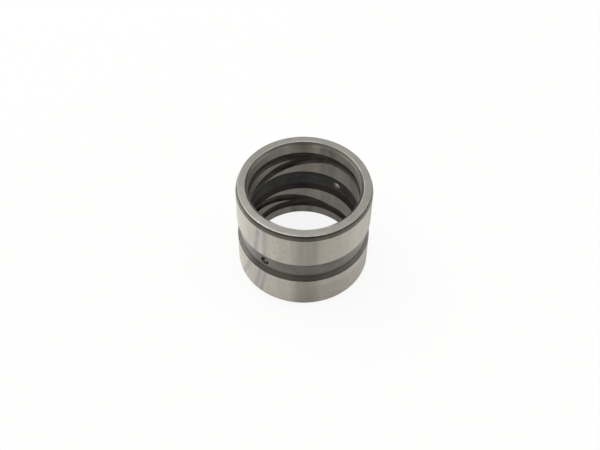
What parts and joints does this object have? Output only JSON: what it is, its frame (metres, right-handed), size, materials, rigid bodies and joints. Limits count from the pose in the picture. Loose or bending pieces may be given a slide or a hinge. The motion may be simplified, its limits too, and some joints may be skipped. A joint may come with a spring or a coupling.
{
  "type": "sleeve bushing",
  "caption": "Plain steel sleeve bushing with a tapered lead-in end, a groove round the outside, ring and crossing oil grooves in the bore, and opposite oil holes.",
  "frame": {"origin": "centre of the bottom end face, on the bore axis", "axes": "+Z along the bore axis, towards the tapered lead-in end; +X to the right and -Y towards the viewer in the picture, with the oil holes 54.7 degrees from +X and opposite"},
  "size_m": [0.085, 0.085, 0.067],
  "materials": {
    "turned_steel": "ground outside, turned grooves, matt end face"
  },
  "bodies": {
    "root": {"bushing": "turned_steel"}
  },
  "joints": []
}
